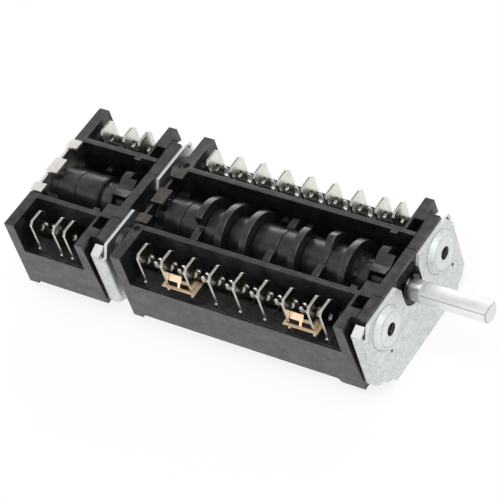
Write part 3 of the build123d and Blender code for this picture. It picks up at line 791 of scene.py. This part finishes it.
# %% Strips, fingers and rivet heads
STRIP_Y, STRIP_SHEET, STRIP_HALF, STRIP_CORNER = 17.2, 0.4, 1.2, 0.08
TIP_START, TIP_WIDTH = 0.7, 0.4
PAD_RADIUS, PAD_HEIGHT, PAD_FLATTER, CONTACT_Z = 0.8, 0.5, (0.6, 0.7), 0.9
FINGER_X, FINGER_SHEET, FINGER_CORNER = 3.3, 0.5, 0.15
FINGER_ROUTE = [(17.45, 1.5), (17.9, 1.6), (18.35, 1.85), (18.6, 2.3), (18.6, 3.4), (18.6, 3.9),
                (18.6, 4.2)]
FINGER_HALVES = [0.6, 0.6, 0.6, 0.6, 0.6, 0.5, 0.3]


def dome(x, y, z, side):
    """Head of a contact rivet, turned about Y and closed behind: cosine and sine of the rise give
    its radius and height, and powers below 1 flatten the ball."""
    rise = np.radians(np.linspace(90, 0, 7))
    radius = PAD_RADIUS * np.cos(rise) ** PAD_FLATTER[0]
    out = PAD_HEIGHT * np.sin(rise) ** PAD_FLATTER[1]
    radius = np.append(radius, 0.0)[:, None]
    out = np.append(out, 0.0)[:, None]
    turn = np.radians(np.arange(0, 360, 15))
    return patch(x + radius * np.cos(turn), y + side * out, z + radius * np.sin(turn),
                 close_columns=True)


def tongue(x0, x1, side):
    """Strip along X beside the blade whose height shrinks in a half ellipse at its tip."""
    share = np.linspace(0, 1, 12)[:, None]
    tip = np.clip((share - TIP_START) / (1 - TIP_START), 0, 1)
    half = STRIP_HALF * (TIP_WIDTH + (1 - TIP_WIDTH) * np.sqrt(1 - tip ** 2))
    return patch(x0 + (x1 - x0) * share, side * (STRIP_Y + STRIP_SHEET / 2),
                 CONTACT_Z + half * np.array([-1, 1]))


def finger(x, side):
    """Bright finger bent up from the strip: its route in Y and Z, widened along X."""
    y, z = np.array(FINGER_ROUTE).T
    half = np.array(FINGER_HALVES)[:, None]
    return patch(x + half * np.array([-1, 1]), side * y[:, None], z[:, None])


print("rivet heads", 2 * PAD_RADIUS, "mm wide and", PAD_HEIGHT, "mm high")

# %% [markdown]
# ## Rows of blades
# Each CAD blade gives its own place along X and says on which side it stands. A blade whose box
# reaches further than its sheet has a strip and a contact, and the others are plain. Where the
# contacts are is kept for the springs.

# %% Stand the blades in their rows
blades = sorted(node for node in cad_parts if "_terminal_" in node)
stations = {}
for node in blades:
    low, high = box_mm(node)
    side = 1 if high[1] > 0 else -1
    x = low[0] + BLADE_SHEET / 2
    head = high[0] - PAD_RADIUS
    stations[node] = (x, head)
    dress(array_mesh(node + "_sheet", blade_patches(x, side)), node + "_blade",
          [tin, sheared, bright_edge], STILL, [node], BLADE_SHEET, BLADE_CORNER,
          3)
    if high[0] > x + 1:
        dress(array_mesh(node + "_arm", [tongue(x, high[0], side)]), node + "_tongue", [bronze],
              STILL, sheet=STRIP_SHEET, corner=STRIP_CORNER)
        if node.startswith("front"):
            # The finger's pale, half-matt silver paints its highlight.
            dress(array_mesh(node + "_bend", [finger(x + FINGER_X, side)]), node + "_finger",
                  [finger_silver_painted_highlight], STILL, sheet=FINGER_SHEET,
                  corner=FINGER_CORNER)
        dress(array_mesh(node + "_head", [dome(head, side * STRIP_Y, CONTACT_Z, -side)]),
              node + "_fixed_contact", [silver], STILL)
print("blades:", len(blades))

# %% [markdown]
# ## Contact springs
# A bronze leaf stands behind each blade. Its lower end runs to the next blade, its nose bends
# through the wall to the cam, and its tip carries the moving contact. The route is drawn with
# soft bends, and the leaf is the route widened along X.

# %% Leaves and feet
LEAF_SHEET, LEAF_CORNER, LEAF_BEND = 0.35, 0.06, 1.1
LEAF_TIP_Y = 15.2
LEAF_ROUTE = [(14.6, -12.7), (14.6, -7.6), (9.95, -2.4), (14.4, -0.1), (LEAF_TIP_Y, 0.3),
              (LEAF_TIP_Y, 2.05)]
NOSE_HALF, LEAF_HALF, NOSE_Z = 0.75, 1.0, -1.0
FOOT_LOW_Z, FOOT_HIGH_Z = -12.65, -11.3


def eased(route, reach):
    """The route with each bend drawn as an arch: a quadratic curve from one run to the next."""
    route = np.array(route)
    share = np.linspace(0, 1, 6)[:, None]
    arches = [route[:1]]
    for before, corner, after in zip(route[:-2], route[1:-1], route[2:]):
        back = before - corner
        onward = after - corner
        start = corner + back * min(0.45, reach / np.linalg.norm(back))
        end = corner + onward * min(0.45, reach / np.linalg.norm(onward))
        arches.append(start * (1 - share) ** 2 + 2 * corner * share * (1 - share)
                      + end * share ** 2)
    return np.concatenate(arches + [route[-1:]])


def leaf_patches(x, foot_end, side):
    """Leaf of even width along the eased route, and its foot along the chamber floor."""
    y, z = eased(LEAF_ROUTE, LEAF_BEND).T
    half = np.where(z > NOSE_Z, NOSE_HALF, LEAF_HALF)[:, None]
    leaf = patch(x + half * np.array([-1, 1]), side * y[:, None], z[:, None])
    foot = patch(np.array([[x, foot_end]]), side * LEAF_ROUTE[0][0],
                 np.array([[FOOT_LOW_Z], [FOOT_HIGH_Z]]))
    return [leaf, foot]


print("points along a leaf:", len(eased(LEAF_ROUTE, LEAF_BEND)))

# %% [markdown]
# ## Rows of springs
# The springs of one row share a CAD node, so they share a piece too. Each spring meets the fixed
# contact of the blade behind it, and its foot is joined to the blade in front.

# %% Set the springs and their contacts
FOOT_GAP, CONTACT_LIFT = 0.02, 0.1
for row in (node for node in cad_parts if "contact_springs" in node):
    prefix = row.replace("contact_springs", "terminal_")
    own = sorted(node for node in blades if node.startswith(prefix))
    side = 1 if "_far_" in row else -1
    leaves = []
    heads = []
    for behind, ahead in zip(own[1:], own[:-1]):
        station = stations[behind][1]
        leaves += leaf_patches(station, stations[ahead][0] - BLADE_SHEET / 2 - FOOT_GAP, side)
        heads.append(dome(station, side * (LEAF_TIP_Y + LEAF_SHEET / 2),
                          CONTACT_Z + CONTACT_LIFT, side))
    dress(array_mesh(row + "_sheet", leaves), row + "_leaves", [bronze], STILL,
          [row], LEAF_SHEET, LEAF_CORNER)
    dress(array_mesh(row + "_heads", heads), row + "_moving_contacts", [silver],
          STILL)
    print(row, "has", len(heads), "springs")

# %% [markdown]
# ## Screw bosses
# The plate is pressed forward into two flat round bosses, and each is tapped. The press leaves a
# fine ring near the rim and another around the hole. The skin of a boss is a profile turned about
# the screw's axis.

# %% Boss skins
BOSS_HEIGHT, SCREW_Y = 1.6, 14.0
BOSS_SKIN = [(6.14, -0.02), (6.04, 0.05), (5.9, 0.25), (5.46, 1.38), (5.34, 1.55), (5.14, 1.63),
             (4.98, 1.63), (4.86, 1.60), (4.74, 1.63), (3.2, 1.64), (2.75, 1.64), (2.62, 1.61),
             (2.48, 1.64)]
HOLE_LIP = [(0.2, 1.64), (0.06, 1.60), (0.0, 1.5), (0.0, 1.1), (0.3, 1.1)]
BOSS_INSIDE = [(5.0, 1.1), (5.7, -0.2)]


def turned(profile, y, steps=96):
    """A closed profile of (radius, x) pairs turned once about a line along X."""
    radius, x = np.array(profile).T[:, :, None]
    turn = np.radians(np.arange(steps) * 360 / steps)
    return patch(x, y + radius * np.cos(turn), radius * np.sin(turn), True, True)


def boss_profile(face, bore):
    """Flank, rim, fine pressed ring, flat top, ring round the hole, its throat and the inside."""
    lip = [(bore + radius, height) for radius, height in HOLE_LIP]
    return [(radius, face + height) for radius, height in BOSS_SKIN + lip + BOSS_INSIDE]


print("bosses", 2 * SCREW_Y, "mm apart,", 2 * BOSS_SKIN[0][0], "mm wide")

# %% [markdown]
# ## Thread and painted shade rings
# The thread is a radius that rises and falls once per pitch along a helix, so the wall of the hole
# is one closed grid. The boss's rim and its inner ring get dark, flat rings of painted shade, a
# few hundredths of a millimetre high and wider on the near side.

# %% Threads and painted shade rings
THREAD_RADIUS, THREAD_DEPTH, THREAD_PITCH, THREAD_BACK = 1.75, 0.17, 0.7, 1.97
THREAD_FRONT, THREAD_REAR = 1.45, -0.95
FRONT_BORE, MIDDLE_BORE = THREAD_RADIUS + 0.1, 2.1
SHADE_RINGS = [(0.0, 6.24, 0.2), (1.63, 4.9, 0.12)]
SHADE_RING_RISE = 0.025


def thread_patch(face, y):
    """Tapped wall: radius grows with the distance to the nearest turn of the helix."""
    x = np.linspace(face + THREAD_FRONT, face + THREAD_REAR, 64)[:, None]
    turn = np.radians(np.arange(0, 360, 6))
    phase = (x / THREAD_PITCH - turn / (2 * math.pi)) % 1.0
    radius = THREAD_RADIUS + THREAD_DEPTH * (1 - np.abs(2 * phase - 1))
    back = np.full((1, len(turn)), THREAD_BACK)
    radius = np.concatenate([back, radius, back])
    x = np.concatenate([x[:1], x, x[-1:]]) + 0 * turn
    return patch(x, y + radius * np.cos(turn), radius * np.sin(turn), True, True)


def dark_ring_of_shade(face, y, radius, width):
    """Thin dark ring of painted shade on a bright face: its width swings with the cosine of the
    angle.
    """
    turn = np.radians(np.arange(0, 360, 3.75))
    across = np.array([0.0, 0.3, 0.7, 1.0])[:, None]
    wide = width * (1.4 - 0.7 * np.cos(turn))
    ring = radius + (across - 0.5) * wide
    rise = face + np.array([0.0, SHADE_RING_RISE, SHADE_RING_RISE, 0.0])[:, None] + 0 * turn
    return patch(rise, y + ring * np.cos(turn), ring * np.sin(turn), close_columns=True)


# The front bosses take the paler zinc, which is painted light, and the middle plate's bosses take
# the near-black zinc, which is painted shade.
for node, bore, skin in (("front_mounting_plate", FRONT_BORE, boss_zinc_painted_light),
                         ("middle_mounting_plate", MIDDLE_BORE, shaded_zinc)):
    face = box_mm(node)[1][0] - BOSS_HEIGHT
    for side, word in ((-1, "near"), (1, "far")):
        boss = turned(boss_profile(face, bore), side * SCREW_Y)
        dress(array_mesh(f"{node}_{word}_boss", [boss]), f"{node}_{word}_boss_skin", [skin],
              STILL)
        if node.startswith("front"):
            # The thread's near-black zinc paints the shade inside the tapped hole.
            dress(array_mesh(f"{word}_thread", [thread_patch(face, side * SCREW_Y)]),
                  f"{word}_tapped_thread", [dull_zinc], STILL)
            # Dark rings of painted shade on the boss's rim and on its inner ring.
            lines = [dark_ring_of_shade(face + height, side * SCREW_Y, radius, width)
                     for height, radius, width in SHADE_RINGS]
            dress(array_mesh(word + "_lines", lines), word + "_painted_shade_rings", [ring_shade_zinc],
                  STILL)
print("thread pitch", THREAD_PITCH, "mm")

# %% [markdown]
# ## Shade behind the notch
# The plate's notch frames the spindle, and a thin almost black sheet paints the shade on the
# bearing cover's face behind it. Rays from the spindle's hole to the notch outline span this face.

# %% Painted shade behind the notch
NOTCH_HALF, NOTCH_TOP = 4.5, 6.8
SPINDLE_CLEAR = 3.1
FACE_LIFT, FACE_SHEET = 0.03, 0.04
turn = np.radians(np.arange(0, 360, 7.5))
upper = np.sin(turn) > 0
to_side = np.where(upper, NOTCH_HALF / np.maximum(np.abs(np.cos(turn)), 0.01), NOTCH_HALF)
to_top = np.where(upper, NOTCH_TOP / np.maximum(np.sin(turn), 0.01), NOTCH_HALF)
outline = np.minimum(to_side, np.maximum(to_top, NOTCH_HALF))
ray = SPINDLE_CLEAR + (outline - SPINDLE_CLEAR) * np.array([[0.0], [1.0]])
face = box_mm("front_bearing_cover")[1][0]
shade = patch(face + FACE_LIFT, ray * np.cos(turn), ray * np.sin(turn), close_columns=True)
dress(array_mesh("notch_face", [shade]), "notch_painted_shade_face", [painted_shade_black], STILL,
      sheet=FACE_SHEET)
print("notch face reaches", round(outline.max(), 1), "mm from the spindle's line")

# %% [markdown]
# ## Small marks
# A punch left two dimples on the front plate, and the mould's ejector pins left two round marks on
# the end wall. Each is a shallow dish with a soft rim, turned about its own axis; the ejector
# marks are near black, painted shade for their recess.

# %% Punched dimples and ejector marks
DIMPLE_RADIUS, DIMPLE_RIM, DIMPLE_FLOOR = 0.48, 0.05, 0.02
DIMPLES = [("near", -14.64, -8.42), ("far", 17.37, -8.5)]
EJECTOR_RADIUS, EJECTOR_RIM, EJECTOR_FLOOR = 0.95, 0.04, 0.015
EJECTOR_X, EJECTOR_Y = -79.4, 12.5
DISH_FOOT = -0.03
housing_top = round(box_mm("front_housing")[1][2], 2)


def dish(radius, rim, floor):
    """Profile from the outer foot over the rim to the middle, closed underneath."""
    return [(radius * 1.12, DISH_FOOT), (radius * 1.08, rim * 0.6), (radius, rim),
            (radius * 0.9, rim * 0.6), (radius * 0.8, floor), (0.0, floor), (0.0, DISH_FOOT)]


for word, y, z in DIMPLES:
    grid, numbers = turned(dish(DIMPLE_RADIUS, DIMPLE_RIM, DIMPLE_FLOOR), y, 32)
    dress(array_mesh(word + "_dimple", [(grid + [0, 0, z], numbers)]), word + "_punched_dimple",
          [dull_zinc], STILL)
for side, word in ((-1, "near"), (1, "far")):
    grid, numbers = turned(dish(EJECTOR_RADIUS, EJECTOR_RIM, EJECTOR_FLOOR), 0.0, 48)
    upright = np.stack([grid[:, 2] + EJECTOR_X, grid[:, 1] + side * EJECTOR_Y,
                        grid[:, 0] + housing_top], axis=-1)
    # Near black: the shade of the mark's recess is painted on.
    dress(array_mesh(word + "_ejector", [(upright, numbers)]), word + "_ejector_mark",
          [painted_shade_black], STILL)
print("dimples:", len(DIMPLES), "and ejector marks at height", housing_top, "mm")

# %% [markdown]
# ## White table
# The switch stands on a white table. Camera and mirror rays see it glow evenly, so metal shows a
# white room too, and a share of plain matt white keeps the object's shadow.

# %% Table
TABLE_REACH = 1500.0
TABLE_GLOW, MIRROR_GLOW, GLOW_SHARE = 1.06, 0.05, 0.8
WHITE, MATT_WHITE = (1, 1, 1, 1), (0.9, 0.9, 0.9, 1)


def rays(tree, *kinds):
    """1 for a ray of one of these kinds, else 0."""
    return sum(Wire(tree).node("LightPath", out=f"Is {kind} Ray") for kind in kinds)


reach = np.array([-TABLE_REACH, TABLE_REACH])
table_z = cad_box[0][2] / MM
floor_mesh = array_mesh("table_top", [patch(reach[:, None], reach[None, :], table_z)])
floor = bpy.data.objects.new("table_top", floor_mesh)
bpy.context.scene.collection.objects.link(floor)
table = bpy.data.materials.new("white_table")
table.use_nodes = True
tree = table.node_tree
base = Wire(tree)
matt = base.node("BsdfDiffuse", {"Color": MATT_WHITE})
glow = base.node("Emission", {"Color": WHITE,
                              "Strength": TABLE_GLOW + rays(tree, "Glossy") * MIRROR_GLOW})
share = base.node("MixShader", {0: rays(tree, "Camera", "Glossy", "Transmission") * GLOW_SHARE,
                                1: matt, 2: glow})
tree.links.new(share.socket, tree.nodes["Material Output"].inputs["Surface"])
floor_mesh.materials.append(table)
print("table at height", round(table_z, 1), "mm")

# %% [markdown]
# ## White room
# The world is white to the camera. In a mirror it is brighter near the horizon than overhead, so
# upright faces and rims shine more than flat tops, as in a room with bright walls. As light on
# matt faces it stays low, which leaves the modelling to the lamps.

# %% World
ROOM_LIGHT = 0.4
MIRROR_SIDES, MIRROR_DROP, DROP_HEIGHTS = 1.15, 0.68, (0.35, 0.75)
world = bpy.data.worlds.new("white_room")
bpy.context.scene.world = world
world.use_nodes = True
tree = world.node_tree
base = Wire(tree)
height = base.node("SeparateXYZ", {0: base.node("TexCoord", out="Generated")}, out="Z")
mirror = rays(tree, "Glossy", "Transmission")
room = MIRROR_SIDES - height.step(*DROP_HEIGHTS) * MIRROR_DROP
matt_light = (1 - rays(tree, "Camera", "Glossy", "Transmission")) * ROOM_LIGHT
strength = rays(tree, "Camera") + mirror * room + matt_light
tree.links.new(strength.socket, tree.nodes["Background"].inputs["Strength"])
tree.nodes["Background"].inputs["Color"].default_value = WHITE
print("room light on matt faces:", ROOM_LIGHT)

# %% [markdown]
# ## Soft lamps
# One broad lamp hangs above the table, and a second stands far behind it and puts a soft shine on
# the rims. Square area lamps this wide cast no hard shadow.

# %% Lamps
def soft_lamp(name, spot, aim, size, watts):
    """A square lamp at spot that shines towards aim."""
    data = bpy.data.lights.new(name, "AREA")
    data.shape = "SQUARE"
    data.size = size
    data.energy = watts
    lamp = bpy.data.objects.new(name, data)
    lamp.location = spot
    way = np.array(aim) - np.array(spot)
    way = way / np.linalg.norm(way)
    lamp.rotation_euler = (math.pi - math.acos(way[2]), 0, math.atan2(-way[0], way[1]))
    bpy.context.scene.collection.objects.link(lamp)


soft_lamp("top_lamp", spot=(0.1, -0.1, 0.95), aim=(-0.05, 0, 0), size=0.8, watts=5.0)
soft_lamp("far_lamp", spot=(-0.5, 0.95, 0.25), aim=(-0.06, 0, 0), size=0.7, watts=3.0)
print("lamps:", [lamp.name for lamp in bpy.data.lights])

# %% [markdown]
# ## Close the scene
# The script ends by counting the meshes in the scene.

# %% Count the meshes
print("meshes in the scene:", len(bpy.data.meshes))
